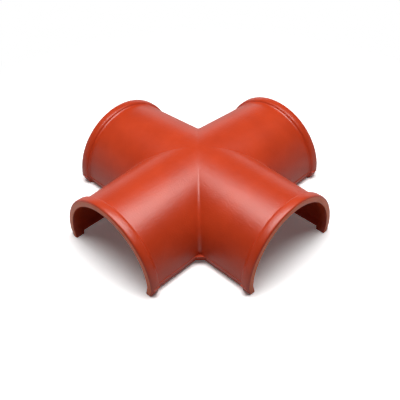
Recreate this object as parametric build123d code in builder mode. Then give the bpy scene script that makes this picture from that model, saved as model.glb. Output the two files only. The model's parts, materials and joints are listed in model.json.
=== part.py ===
"""Four-way ridge tile: a thin half-round shell crossing itself at right angles, with a collar on each end."""

import math
import os

from build123d import *

os.makedirs("parts", exist_ok=True)

# Driving dimensions, in millimetres and degrees
half_span = 215.0  # centre of the crossing to the end face of each arm
seam_height = 17.0  # mould seam above the bed, where the tile is widest
leg_draft = 15.0  # inward lean of the legs below the seam
seam_ledge = 1.0  # step outwards along the seam
arm_radius = 103.0  # outside of an arm's half-round at its collar
wall = 4.0  # shell between the collars
crown_rise = 11.5  # how far each arm falls from the crossing to its collar
edge_lift = 4.0  # lower edges of the arms above the bed
valley_radius = 6.0  # hollow rounding along the valleys between the arms
crown_radius = 12.0  # middle of the crossing, where the valleys have run out
gusset_leg = 13.0  # corner gusset along each of its two arms
collar_length = 20.0  # along the arm, root included
collar_root = 3.0  # flare from the collar's shoulder down to the arm
collar_proud = 5.5  # outside of the collar above the outside of the arm
collar_inset = 2.5  # inside of the collar below the inside of the arm
collar_rounding = 4.0  # outer edges of the collar, each a quarter turn in flats
rounding_flats = 3  # flats in each of those quarter turns
toe_height = 6.0  # outside of the collar's toes, where it turns in under the leg
toe_rake = 60.0  # outside of the toes, up from the bed
toe_rounding = 5.0  # between the outside of the toes and their soles
flash_proud = 1.0  # mould flash on the collar above its face
flash_height = 1.5  # mould flash below the seam
joint_overlap = 2.0  # how far pieces of the moulding run into each other

# Values that follow from them
arm_count = 4
slope = math.tan(math.radians(leg_draft))
rake = 1 / math.tan(math.radians(toe_rake))
collar_start = half_span - collar_length
shoulder = collar_start + collar_root
arm_end = shoulder + joint_overlap
wall_middle = arm_radius - wall / 2
mouth_radius = arm_radius - wall - collar_inset
collar_radius = arm_radius + collar_proud
collar_sole = collar_radius - seam_height * slope
crown_height = seam_height + arm_radius + crown_rise
end_plane = Plane.YZ.offset(half_span)
fall_plane = Plane((0, 0, seam_height + crown_rise), x_dir=(0, 1, 0), z_dir=(arm_end, 0, -crown_rise))


def arch_face(plane, radius, foot):
    """Half-round above the seam on two legs that lean inwards down to the foot."""
    sole = radius - (seam_height - foot) * slope
    with BuildSketch(plane) as section:
        with BuildLine():
            arch = CenterArc((0, seam_height), radius, 0, arc_size=180)
            Polyline(arch @ 1, (-sole, foot), (sole, foot), arch @ 0)
        make_face()
    return section.sketch


def mitred_arm(radius, foot, length, ledge=0.0):
    """One arm along +X, filled: a falling half-round on level legs, with its root cut to a point."""
    seam = radius + ledge
    sole = seam - (seam_height - foot) * slope
    with BuildPart() as arm:
        with BuildSketch(fall_plane):
            with BuildLine():
                arch = CenterArc((0, 0), radius, 0, arc_size=180)
                Polyline(arch @ 1, (-radius, -crown_height), (radius, -crown_height), arch @ 0)
            make_face()
        extrude(amount=half_span, both=True)
        split(bisect_by=Plane.XY.offset(seam_height))
        with BuildSketch(Plane.YZ):
            with BuildLine():
                Polyline((-seam, seam_height), (-sole, foot), (sole, foot), (seam, seam_height), close=True)
            make_face()
        extrude(amount=half_span)
        with BuildSketch():
            with BuildLine():
                Polyline((0, 0), (length, length), (length, -length), close=True)
            make_face()
        extrude(amount=2 * crown_height, mode=Mode.INTERSECT)
    return arm.part


def gusset_face(level):
    """Triangle in the corner between two legs, rooted inside their walls."""
    leg_face = arm_radius + seam_ledge - (seam_height - level) * slope
    root = leg_face - joint_overlap
    tip = leg_face + gusset_leg
    with BuildSketch(Plane.XY.offset(level)) as triangle:
        with BuildLine():
            Polyline((root, root), (tip, root), (root, tip), close=True)
        make_face()
    return triangle.sketch


def valley_edges(part):
    """The curves where two arms meet above the seam."""
    found = []
    for edge in part.edges():
        middle = edge.center()
        on_diagonal = abs(abs(middle.X) - abs(middle.Y)) < 0.1
        if on_diagonal and middle.Z > seam_height + joint_overlap:
            found.append(edge)
    return found


def rounded_corner(centre_x, start):
    """Outer corner of the collar's section: a quarter turn from the start angle, in flats."""
    centre_y = collar_radius - collar_rounding
    points = []
    for step in range(rounding_flats + 1):
        angle = math.radians(start + 90 * step / rounding_flats)
        x = centre_x + collar_rounding * math.cos(angle)
        y = centre_y + collar_rounding * math.sin(angle)
        points.append((x, y))
    return points


# Gusset in the corner between the +X and +Y arms
with BuildPart() as gusset:
    loft([gusset_face(edge_lift), gusset_face(seam_height)])

# Outside of the crossing, filled
with BuildPart() as crossing:
    with PolarLocations(0, arm_count):
        add(mitred_arm(arm_radius, edge_lift, arm_end, seam_ledge))
        add(gusset.part)

# Middle of the crossing, kept without rounding
with BuildPart() as crown:
    add(crossing.part)
    Cylinder(crown_radius, 4 * crown_height, mode=Mode.INTERSECT)

# Collar of the +X arm: its section turned about the arm, carried down the legs and trimmed at the toes
with BuildPart() as collar:
    with BuildSketch(Plane.XY.offset(seam_height)) as section:
        with BuildLine():
            outline = [(half_span, mouth_radius)]
            outline += rounded_corner(half_span - collar_rounding, 0)
            outline += rounded_corner(shoulder + collar_rounding, 90)
            outline += [(collar_start, arm_radius), (collar_start, wall_middle)]
            outline += [(shoulder, wall_middle), (shoulder, mouth_radius)]
            Polyline(outline, close=True)
        make_face()
    extrude(amount=2 * seam_height, dir=(0, -slope, -1))
    mirror(about=Plane.XZ)
    revolve(section.sketch, axis=Axis((0, 0, seam_height), (1, 0, 0)), revolution_arc=180)
    with BuildSketch(end_plane) as trim:
        with BuildLine():
            corner = collar_sole - toe_height * (rake - slope)
            top = seam_height + 2 * collar_radius
            side = corner + top * rake
            Polyline((corner, 0), (side, top), (-side, top), (-corner, 0), close=True)
        make_face()
        fillet(trim.vertices().group_by(Axis.Y)[0], toe_rounding)
    extrude(amount=-collar_length, mode=Mode.INTERSECT)
    with Locations((half_span - collar_length / 2, 0, seam_height - flash_height / 2)):
        with GridLocations(0, 2 * collar_radius + flash_proud - collar_proud, 1, 2):
            Box(collar_length - 2 * collar_rounding, flash_proud + collar_proud, flash_height)

# Hollow under the +X arm, which narrows to the mouth at the collar
with BuildPart() as hollow:
    add(mitred_arm(arm_radius - wall, 0, shoulder))
    extrude(arch_face(end_plane, mouth_radius, 0), amount=-2 * collar_length)

# The whole tile: rounded valleys first, then the hollow underneath, then the collars
with BuildPart() as ridge_tile:
    add(crossing.part)
    Cylinder(crown_radius, 4 * crown_height, mode=Mode.SUBTRACT)
    fillet(valley_edges(ridge_tile.part), valley_radius)
    add(crown.part)
    with PolarLocations(0, arm_count):
        add(hollow.part, mode=Mode.SUBTRACT)
    with PolarLocations(0, arm_count):
        add(collar.part)

ridge_tile.part.label = "ridge_tile"
export_step(ridge_tile.part, "parts/ridge_tile.step")
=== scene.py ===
"""Finish, studio and camera for a four-way ridge tile of red moulded polymer."""

import json
import math

import bpy
from bpy.props import FloatProperty, FloatVectorProperty, PointerProperty
from bpy.types import Operator, Panel, PropertyGroup
from mathutils import Matrix, Vector

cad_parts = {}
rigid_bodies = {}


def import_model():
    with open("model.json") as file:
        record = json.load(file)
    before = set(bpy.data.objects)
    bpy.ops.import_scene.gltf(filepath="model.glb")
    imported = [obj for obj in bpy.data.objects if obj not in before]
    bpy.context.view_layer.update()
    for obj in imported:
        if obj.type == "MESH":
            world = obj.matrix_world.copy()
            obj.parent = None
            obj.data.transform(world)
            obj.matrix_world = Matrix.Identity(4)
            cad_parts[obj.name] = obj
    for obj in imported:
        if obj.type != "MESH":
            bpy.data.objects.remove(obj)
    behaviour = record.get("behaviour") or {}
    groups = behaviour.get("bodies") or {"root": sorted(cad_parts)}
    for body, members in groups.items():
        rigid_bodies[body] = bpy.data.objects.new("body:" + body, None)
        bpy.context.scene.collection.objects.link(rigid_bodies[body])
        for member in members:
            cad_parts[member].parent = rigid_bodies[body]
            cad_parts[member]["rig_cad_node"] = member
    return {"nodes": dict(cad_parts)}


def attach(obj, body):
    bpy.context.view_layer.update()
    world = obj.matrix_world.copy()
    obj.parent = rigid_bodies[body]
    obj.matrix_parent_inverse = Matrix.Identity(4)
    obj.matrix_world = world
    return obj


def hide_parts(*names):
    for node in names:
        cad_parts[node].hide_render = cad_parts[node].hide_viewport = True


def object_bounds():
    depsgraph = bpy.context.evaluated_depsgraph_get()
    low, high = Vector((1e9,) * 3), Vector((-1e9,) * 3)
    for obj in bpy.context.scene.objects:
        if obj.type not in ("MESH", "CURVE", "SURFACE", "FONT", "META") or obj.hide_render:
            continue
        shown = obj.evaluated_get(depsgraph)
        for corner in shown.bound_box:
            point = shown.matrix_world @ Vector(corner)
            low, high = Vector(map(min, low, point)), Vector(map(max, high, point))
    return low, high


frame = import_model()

bl_info = {
    "name": "Four-Way Ridge Tile",
    "version": (1, 0, 0),
    "blender": (4, 5, 0),
    "location": "3D View > Sidebar > Ridge Tile",
    "description": "Dresses the four-way ridge tile and sets it in a small studio",
    "category": "Object",
}

CAD_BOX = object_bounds()
TILE_NODE = "ridge_tile"
BODY = "root"
PHOTO_WIDTH = 400  # pixels
SENSOR_WIDTH = 36.0  # millimetres
BEVEL_SEGMENTS = 2
CLOUD_DETAIL = 5.0
CLOUD_ROUGHNESS = 0.6
GRAIN_DETAIL = 3.0
WHITE = (1, 1, 1, 1)


class TileSettings(PropertyGroup):
    """Sizes and colours of the tile's finish."""

    merge_distance: FloatProperty(
        name="Merge Distance",
        description="Corners closer than this become one",
        default=0.00002,
        subtype="DISTANCE",
    )
    flat_angle: FloatProperty(
        name="Flat Angle",
        description="Faces that meet at less than this become one face",
        default=math.radians(0.6),
        subtype="ANGLE",
    )
    smooth_angle: FloatProperty(
        name="Smooth Angle",
        description="Faces that meet at less than this shade as one surface",
        default=math.radians(38),
        subtype="ANGLE",
    )
    arm_reach: FloatProperty(
        name="Arm Reach",
        description="Arms from the middle of the tile to just past their collars' roots",
        default=0.1968,
        subtype="DISTANCE",
    )
    round_angle: FloatProperty(
        name="Round Angle",
        description="Edges where faces meet at more than this get a small rounding",
        default=math.radians(24),
        subtype="ANGLE",
    )
    edge_rounding: FloatProperty(
        name="Edge Rounding",
        description="Width of that small rounding",
        default=0.0006,
        subtype="DISTANCE",
    )
    red: FloatVectorProperty(
        name="Red",
        description="Colour of the moulding",
        default=(0.56, 0.050, 0.011),
        subtype="COLOR",
    )
    deep_red: FloatVectorProperty(
        name="Deep Red",
        description="Darker clouds in the moulding",
        default=(0.48, 0.039, 0.008),
        subtype="COLOR",
    )
    cloud_scale: FloatProperty(
        name="Cloud Scale",
        description="Clouds of colour in a metre of the moulding",
        default=14.0,
    )
    cloud_low: FloatProperty(
        name="Cloud Low",
        description="Level of the cloud noise that is all deep red",
        default=0.35,
        subtype="FACTOR",
    )
    cloud_high: FloatProperty(
        name="Cloud High",
        description="Level of the cloud noise that is all red",
        default=0.65,
        subtype="FACTOR",
    )
    # Painted light: the flat end faces are painted paler, standing in for softbox light that rounded end
    # faces would catch.
    painted_light_red: FloatVectorProperty(
        name="Painted Light Red",
        description="Paler colour painted on the flat end faces as painted light from the softbox",
        default=(0.85, 0.14, 0.03),
        subtype="COLOR",
    )
    painted_light_depth: FloatProperty(
        name="Painted Light Depth",
        description="How far the paler colour reaches in from the end faces",
        default=0.0004,
        subtype="DISTANCE",
    )
    grain_size: FloatProperty(
        name="Grain Size",
        description="Distance across one grain of the moulded skin",
        default=0.0026,
        subtype="DISTANCE",
    )
    grain_height: FloatProperty(
        name="Grain Height",
        description="Height of the grain of the moulded skin",
        default=0.0003,
        subtype="DISTANCE",
    )
    gloss: FloatProperty(
        name="Gloss",
        description="Strength of the satin skin's reflections, where a half is plain polymer",
        default=0.55,
        subtype="FACTOR",
    )
    roughness: FloatProperty(
        name="Roughness",
        description="Middle roughness of the satin skin",
        default=0.34,
        subtype="FACTOR",
    )
    roughness_spread: FloatProperty(
        name="Roughness Spread",
        description="How far the grain takes the roughness from its middle, either way",
        default=0.1,
        subtype="FACTOR",
    )


class StudioSettings(PropertyGroup):
    """Floor, lamp, surroundings and camera."""

    floor_size: FloatProperty(
        name="Floor Size",
        description="Side of the square floor",
        default=8.0,
        subtype="DISTANCE",
    )
    floor_white: FloatProperty(
        name="Floor White",
        description="Grey level of the floor as the camera sees it",
        default=1.5,
    )
    floor_mirrored: FloatProperty(
        name="Floor Mirrored",
        description="Grey level of the floor in the tile's reflections",
        default=0.6,
        subtype="FACTOR",
    )
    floor_bounce: FloatProperty(
        name="Floor Bounce",
        description="Share of the light that the floor throws back on the tile",
        default=0.45,
        subtype="FACTOR",
    )
    shadow_lift: FloatProperty(
        name="Shadow Lift",
        description="Light that the camera sees even in the floor's deepest shadow",
        default=0.07,
        subtype="FACTOR",
    )
    clear_from: FloatProperty(
        name="Clear From",
        description="Distance from the middle of the tile where the floor starts to turn plain white",
        default=0.42,
        subtype="DISTANCE",
    )
    clear_to: FloatProperty(
        name="Clear To",
        description="Distance from the middle of the tile where the floor is plain white",
        default=0.75,
        subtype="DISTANCE",
    )
    softbox_width: FloatProperty(
        name="Softbox Width",
        description="Lamp overhead, from left to right as the camera sees it",
        default=1.3,
        subtype="DISTANCE",
    )
    softbox_depth: FloatProperty(
        name="Softbox Depth",
        description="Lamp overhead, from front to back",
        default=0.8,
        subtype="DISTANCE",
    )
    softbox_height: FloatProperty(
        name="Softbox Height",
        description="Lamp above the floor",
        default=1.3,
        subtype="DISTANCE",
    )
    softbox_forward: FloatProperty(
        name="Softbox Forward",
        description="Lamp in front of the middle of the tile, towards the camera",
        default=0.02,
        subtype="DISTANCE",
    )
    softbox_aside: FloatProperty(
        name="Softbox Aside",
        description="Lamp to the right of the middle of the tile, as the camera sees it",
        default=0.03,
        subtype="DISTANCE",
    )
    softbox_power: FloatProperty(
        name="Softbox Power",
        description="Lamp power in watts",
        default=23.0,
        subtype="POWER",
    )
    horizon_strength: FloatProperty(
        name="Horizon Strength",
        description="Strength of the white surroundings low behind the tile",
        default=1.2,
    )
    front_strength: FloatProperty(
        name="Front Strength",
        description="Strength of the surroundings low in front of the tile",
        default=0.12,
    )
    rear_from: FloatProperty(
        name="Rear From",
        description="Where the rear surroundings begin, as the cosine of the angle from straight behind",
        default=-0.4,
        subtype="FACTOR",
    )
    rear_to: FloatProperty(
        name="Rear To",
        description="Where the rear surroundings are full, as the cosine of the angle from straight behind",
        default=0.6,
        subtype="FACTOR",
    )
    horizon_rise: FloatProperty(
        name="Horizon Rise",
        description="How far up the white surroundings reach, as the sine of the angle",
        default=0.4,
        subtype="FACTOR",
    )
    azimuth: FloatProperty(
        name="Camera Azimuth",
        description="Camera round the tile, from the -Y side towards +X",
        default=math.radians(45.79),
        subtype="ANGLE",
    )
    elevation: FloatProperty(
        name="Camera Elevation",
        description="Camera above the horizon",
        default=math.radians(40.91),
        subtype="ANGLE",
    )
    roll: FloatProperty(
        name="Camera Roll",
        description="Camera about its line of sight",
        default=math.radians(1.65),
        subtype="ANGLE",
    )
    distance: FloatProperty(
        name="Camera Distance",
        description="Camera from the point that it looks at",
        default=1.1348,
        subtype="DISTANCE",
    )
    aim_aside: FloatProperty(
        name="Aim Aside",
        description="Point looked at, to the right of the middle of the tile",
        default=0.00062,
        subtype="DISTANCE",
    )
    aim_height: FloatProperty(
        name="Aim Height",
        description="Point looked at, above the floor",
        default=0.00797,
        subtype="DISTANCE",
    )
    focal_pixels: FloatProperty(
        name="Focal Length",
        description="Focal length in pixels of the picture",
        default=610.2,
        subtype="PIXEL",
    )


def add_node(tree, kind, place, **values):
    """A shader node of one kind with its plain settings and socket values."""
    node = tree.nodes.new(kind)
    node.location = place
    for name, value in values.items():
        if hasattr(node, name):
            setattr(node, name, value)
        else:
            node.inputs[name.replace("_", " ").title()].default_value = value
    return node


def fresh_material(name):
    """A material with an empty node tree."""
    material = bpy.data.materials.new(name)
    material.use_nodes = True
    material.node_tree.nodes.clear()
    return material


def painted_light_ends(tree, place, settings):
    """Mask that is 1 on the flat end faces of the arms, from Object coordinates; it places the painted
    light that makes the end faces paler.
    """
    link = tree.links.new
    axes = add_node(tree, "ShaderNodeSeparateXYZ", (-900, 600))
    link(place.outputs["Object"], axes.inputs["Vector"])
    reach = add_node(tree, "ShaderNodeMath", (-500, 600), operation="MAXIMUM")
    for slot, axis in enumerate("XY"):
        size = add_node(tree, "ShaderNodeMath", (-700, 600 - 150 * slot), operation="ABSOLUTE")
        link(axes.outputs[axis], size.inputs[0])
        link(size.outputs["Value"], reach.inputs[slot])
    ends = add_node(tree, "ShaderNodeMapRange", (-300, 600))
    ends.inputs["From Min"].default_value = CAD_BOX[1][0] - settings.painted_light_depth
    ends.inputs["From Max"].default_value = CAD_BOX[1][0] - settings.painted_light_depth / 2
    link(reach.outputs["Value"], ends.inputs["Value"])
    return ends


def moulding_material(settings):
    """Satin red polymer: clouded colour, end faces painted paler as painted light from the softbox, uneven
    gloss and a fine moulded grain.
    """
    material = fresh_material("red_moulding_finish")
    tree = material.node_tree
    link = tree.links.new
    place = add_node(tree, "ShaderNodeTexCoord", (-1200, 0))
    clouds = add_node(tree, "ShaderNodeTexNoise", (-900, 300), scale=settings.cloud_scale)
    clouds.inputs["Detail"].default_value = CLOUD_DETAIL
    clouds.inputs["Roughness"].default_value = CLOUD_ROUGHNESS
    link(place.outputs["Object"], clouds.inputs["Vector"])
    spread = add_node(tree, "ShaderNodeMapRange", (-700, 300))
    spread.inputs["From Min"].default_value = settings.cloud_low
    spread.inputs["From Max"].default_value = settings.cloud_high
    link(clouds.outputs["Fac"], spread.inputs["Value"])
    tint = add_node(tree, "ShaderNodeMix", (-500, 300), data_type="RGBA")
    tint.inputs["A"].default_value = (*settings.deep_red, 1)
    tint.inputs["B"].default_value = (*settings.red, 1)
    link(spread.outputs["Result"], tint.inputs["Factor"])
    # Painted light: a paler colour on the end faces stands in for softbox light on them.
    ends = painted_light_ends(tree, place, settings)
    colour = add_node(tree, "ShaderNodeMix", (-300, 300), data_type="RGBA")
    colour.inputs["B"].default_value = (*settings.painted_light_red, 1)
    link(ends.outputs["Result"], colour.inputs["Factor"])
    link(tint.outputs["Result"], colour.inputs["A"])
    grain = add_node(tree, "ShaderNodeTexNoise", (-900, -200), scale=1 / settings.grain_size)
    grain.inputs["Detail"].default_value = GRAIN_DETAIL
    link(place.outputs["Object"], grain.inputs["Vector"])
    gloss = add_node(tree, "ShaderNodeMapRange", (-500, 0))
    gloss.inputs["To Min"].default_value = settings.roughness - settings.roughness_spread
    gloss.inputs["To Max"].default_value = settings.roughness + settings.roughness_spread
    link(grain.outputs["Fac"], gloss.inputs["Value"])
    bump = add_node(tree, "ShaderNodeBump", (-500, -300))
    bump.inputs["Strength"].default_value = 1
    bump.inputs["Distance"].default_value = settings.grain_height
    link(grain.outputs["Fac"], bump.inputs["Height"])
    shader = add_node(tree, "ShaderNodeBsdfPrincipled", (-100, 100))
    shader.inputs["Specular IOR Level"].default_value = settings.gloss
    link(colour.outputs["Result"], shader.inputs["Base Color"])
    link(gloss.outputs["Result"], shader.inputs["Roughness"])
    link(bump.outputs["Normal"], shader.inputs["Normal"])
    output = add_node(tree, "ShaderNodeOutputMaterial", (200, 100))
    link(shader.outputs["BSDF"], output.inputs["Surface"])
    return material


def select_only(piece):
    """Makes one object the whole selection and the active one."""
    bpy.ops.object.select_all(action="DESELECT")
    piece.select_set(True)
    bpy.context.view_layer.objects.active = piece


class RIDGETILE_OT_tile(Operator):
    """Copies the solid tile, merges its corners, rounds and smooths it and gives it its finish"""

    bl_idname = "ridgetile.tile"
    bl_label = "Ridge Tile"

    def execute(self, context):
        settings = context.scene.ridge_tile
        tile = self.merged_copy(context, settings)
        self.round_edges(tile, settings)
        self.smooth_arms(tile, settings)
        tile.data.materials.clear()
        tile.data.materials.append(moulding_material(settings))
        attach(tile, BODY)
        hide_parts(TILE_NODE)
        return {"FINISHED"}

    def merged_copy(self, context, settings):
        """A copy of the solid as one closed mesh, without the solid's own normals."""
        select_only(frame["nodes"][TILE_NODE])
        bpy.ops.object.duplicate()
        tile = context.active_object
        tile.name = "moulded_tile"
        del tile["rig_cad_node"]
        bpy.ops.object.mode_set(mode="EDIT")
        bpy.ops.mesh.select_all(action="SELECT")
        bpy.ops.mesh.remove_doubles(threshold=settings.merge_distance)
        bpy.ops.mesh.customdata_custom_splitnormals_clear()
        bpy.ops.mesh.dissolve_limited(angle_limit=settings.flat_angle)
        bpy.ops.object.mode_set(mode="OBJECT")
        return tile

    def round_edges(self, tile, settings):
        """Small roundings on the edges and between the flats of the collars."""
        bpy.ops.object.modifier_add(type="BEVEL")
        bevel = tile.modifiers[-1]
        bevel.width = settings.edge_rounding
        bevel.segments = BEVEL_SEGMENTS
        bevel.limit_method = "ANGLE"
        bevel.angle_limit = settings.round_angle
        bpy.ops.object.modifier_apply(modifier=bevel.name)

    def smooth_arms(self, tile, settings):
        """Smooth shading, in which long faces lead on the arms and the collars shade as beads."""
        bpy.ops.object.shade_smooth_by_angle(angle=settings.smooth_angle)
        arms = tile.vertex_groups.new(name="arms")
        for vertex in tile.data.vertices:
            if max(abs(vertex.co.x), abs(vertex.co.y)) < settings.arm_reach:
                arms.add([vertex.index], 1.0, "REPLACE")
        bpy.ops.object.modifier_add(type="WEIGHTED_NORMAL")
        weighted = tile.modifiers[-1]
        weighted.keep_sharp = True
        weighted.vertex_group = arms.name
        bpy.ops.object.modifier_apply(modifier=weighted.name)
        tile.vertex_groups.clear()


def floor_material(settings):
    """White floor that keeps the tile's shadow and turns plain white further out."""
    material = fresh_material("white_floor")
    tree = material.node_tree
    link = tree.links.new
    path = add_node(tree, "ShaderNodeLightPath", (-900, 300))
    shiny = add_node(tree, "ShaderNodeMapRange", (-700, 300))
    shiny.inputs["To Min"].default_value = settings.floor_bounce
    shiny.inputs["To Max"].default_value = settings.floor_mirrored
    link(path.outputs["Is Glossy Ray"], shiny.inputs["Value"])
    level = add_node(tree, "ShaderNodeMapRange", (-500, 300))
    level.inputs["To Max"].default_value = settings.floor_white
    link(shiny.outputs["Result"], level.inputs["To Min"])
    link(path.outputs["Is Camera Ray"], level.inputs["Value"])
    paint = add_node(tree, "ShaderNodeBsdfDiffuse", (-200, 200))
    link(level.outputs["Result"], paint.inputs["Color"])
    white = add_node(tree, "ShaderNodeEmission", (-200, 0))
    place = add_node(tree, "ShaderNodeTexCoord", (-900, -200))
    away = add_node(tree, "ShaderNodeVectorMath", (-700, -200), operation="LENGTH")
    link(place.outputs["Object"], away.inputs[0])
    clear = add_node(tree, "ShaderNodeMapRange", (-500, -200), interpolation_type="SMOOTHSTEP")
    clear.inputs["From Min"].default_value = settings.clear_from
    clear.inputs["From Max"].default_value = settings.clear_to
    link(away.outputs["Value"], clear.inputs["Value"])
    clear.inputs["To Min"].default_value = settings.shadow_lift
    share = add_node(tree, "ShaderNodeMath", (-300, -200), operation="MULTIPLY")
    link(clear.outputs["Result"], share.inputs[0])
    link(path.outputs["Is Camera Ray"], share.inputs[1])
    mix = add_node(tree, "ShaderNodeMixShader", (100, 100))
    link(share.outputs["Value"], mix.inputs["Fac"])
    link(paint.outputs["BSDF"], mix.inputs[1])
    link(white.outputs["Emission"], mix.inputs[2])
    output = add_node(tree, "ShaderNodeOutputMaterial", (300, 100))
    link(mix.outputs["Shader"], output.inputs["Surface"])
    return material


def camera_axes(settings):
    """Directions to the camera, to its right and up, before it rolls."""
    a = settings.azimuth
    e = settings.elevation
    back = Vector((math.sin(a) * math.cos(e), -math.cos(a) * math.cos(e), math.sin(e)))
    right = Vector((math.cos(a), math.sin(a), 0))
    return back, right, back.cross(right)


class RIDGETILE_OT_studio(Operator):
    """Adds the floor, the lamp overhead, the white surroundings and the camera"""

    bl_idname = "ridgetile.studio"
    bl_label = "Studio"

    def execute(self, context):
        settings = context.scene.ridge_studio
        self.add_floor(context, settings)
        self.add_softbox(context, settings)
        self.add_surroundings(context, settings)
        self.add_camera(context, settings)
        context.scene.view_settings.view_transform = "Standard"
        return {"FINISHED"}

    def add_floor(self, context, settings):
        """A large plane under the tile."""
        bpy.ops.object.select_all(action="DESELECT")
        bpy.ops.mesh.primitive_plane_add(size=settings.floor_size)
        floor = context.active_object
        floor.name = "floor"
        floor.data.materials.append(floor_material(settings))

    def add_softbox(self, context, settings):
        """One wide lamp overhead, square to the camera."""
        back, right, up = camera_axes(settings)
        front = Vector((back.x, back.y, 0)).normalized()
        bpy.ops.object.light_add(type="AREA")
        lamp = context.active_object
        lamp.name = "softbox"
        lamp.location = front * settings.softbox_forward + right * settings.softbox_aside
        lamp.location.z = settings.softbox_height
        lamp.rotation_euler = (0, 0, settings.azimuth)
        lamp.data.shape = "RECTANGLE"
        lamp.data.size = settings.softbox_width
        lamp.data.size_y = settings.softbox_depth
        lamp.data.energy = settings.softbox_power

    def add_surroundings(self, context, settings):
        """White low behind the tile, dim low in front and dark above; plain white to the camera."""
        world = bpy.data.worlds.new("white_surroundings")
        context.scene.world = world
        world.use_nodes = True
        tree = world.node_tree
        tree.nodes.clear()
        link = tree.links.new
        back, right, up = camera_axes(settings)
        place = add_node(tree, "ShaderNodeTexCoord", (-900, 0))
        facing = add_node(tree, "ShaderNodeVectorMath", (-700, 100), operation="DOT_PRODUCT")
        facing.inputs[1].default_value = Vector((-back.x, -back.y, 0)).normalized()
        link(place.outputs["Generated"], facing.inputs[0])
        rear = add_node(tree, "ShaderNodeMapRange", (-500, 100), interpolation_type="SMOOTHSTEP")
        rear.inputs["From Min"].default_value = settings.rear_from
        rear.inputs["From Max"].default_value = settings.rear_to
        rear.inputs["To Min"].default_value = settings.front_strength
        rear.inputs["To Max"].default_value = settings.horizon_strength
        link(facing.outputs["Value"], rear.inputs["Value"])
        split = add_node(tree, "ShaderNodeSeparateXYZ", (-700, -100))
        link(place.outputs["Generated"], split.inputs["Vector"])
        low = add_node(tree, "ShaderNodeMapRange", (-500, -100), interpolation_type="SMOOTHSTEP")
        low.inputs["From Max"].default_value = settings.horizon_rise
        low.inputs["To Min"].default_value = 1
        low.inputs["To Max"].default_value = 0
        link(split.outputs["Z"], low.inputs["Value"])
        strength = add_node(tree, "ShaderNodeMath", (-300, 0), operation="MULTIPLY")
        link(rear.outputs["Result"], strength.inputs[0])
        link(low.outputs["Result"], strength.inputs[1])
        path = add_node(tree, "ShaderNodeLightPath", (-300, 300))
        seen = add_node(tree, "ShaderNodeMath", (-100, 0), operation="MAXIMUM")
        link(strength.outputs["Value"], seen.inputs[0])
        link(path.outputs["Is Camera Ray"], seen.inputs[1])
        room = add_node(tree, "ShaderNodeBackground", (100, 0))
        room.inputs["Color"].default_value = WHITE
        link(seen.outputs["Value"], room.inputs["Strength"])
        output = add_node(tree, "ShaderNodeOutputWorld", (300, 0))
        link(room.outputs["Background"], output.inputs["Surface"])

    def add_camera(self, context, settings):
        """The photo's camera, looking at the tile from between two arms."""
        back, right, up = camera_axes(settings)
        aim = right * settings.aim_aside + Vector((0, 0, settings.aim_height))
        place = aim + back * settings.distance
        cos_roll = math.cos(settings.roll)
        sin_roll = math.sin(settings.roll)
        bpy.ops.object.camera_add()
        camera = context.active_object
        camera.name = "camera"
        camera.data.sensor_width = SENSOR_WIDTH
        camera.data.lens = settings.focal_pixels / PHOTO_WIDTH * SENSOR_WIDTH
        columns = (right * cos_roll - up * sin_roll, right * sin_roll + up * cos_roll, back)
        turn = Matrix(columns).transposed()
        camera.matrix_world = Matrix.Translation(place) @ turn.to_4x4()
        context.scene.camera = camera


class RIDGETILE_PT_panel(Panel):
    """Sidebar panel with the tile's and the studio's settings"""

    bl_label = "Ridge Tile"
    bl_idname = "RIDGETILE_PT_panel"
    bl_space_type = "VIEW_3D"
    bl_region_type = "UI"
    bl_category = "Ridge Tile"

    def draw(self, context):
        groups = (
            (RIDGETILE_OT_tile, context.scene.ridge_tile),
            (RIDGETILE_OT_studio, context.scene.ridge_studio),
        )
        for operator, settings in groups:
            box = self.layout.box()
            box.operator(operator.bl_idname)
            for name in settings.__annotations__:
                box.prop(settings, name)


CLASSES = (
    TileSettings,
    StudioSettings,
    RIDGETILE_OT_tile,
    RIDGETILE_OT_studio,
    RIDGETILE_PT_panel,
)


def register():
    for cls in CLASSES:
        bpy.utils.register_class(cls)
    bpy.types.Scene.ridge_tile = PointerProperty(type=TileSettings)
    bpy.types.Scene.ridge_studio = PointerProperty(type=StudioSettings)


def unregister():
    del bpy.types.Scene.ridge_studio
    del bpy.types.Scene.ridge_tile
    for cls in reversed(CLASSES):
        bpy.utils.unregister_class(cls)


def main():
    register()
    bpy.ops.ridgetile.tile()
    bpy.ops.ridgetile.studio()


if __name__ == "__main__":
    main()
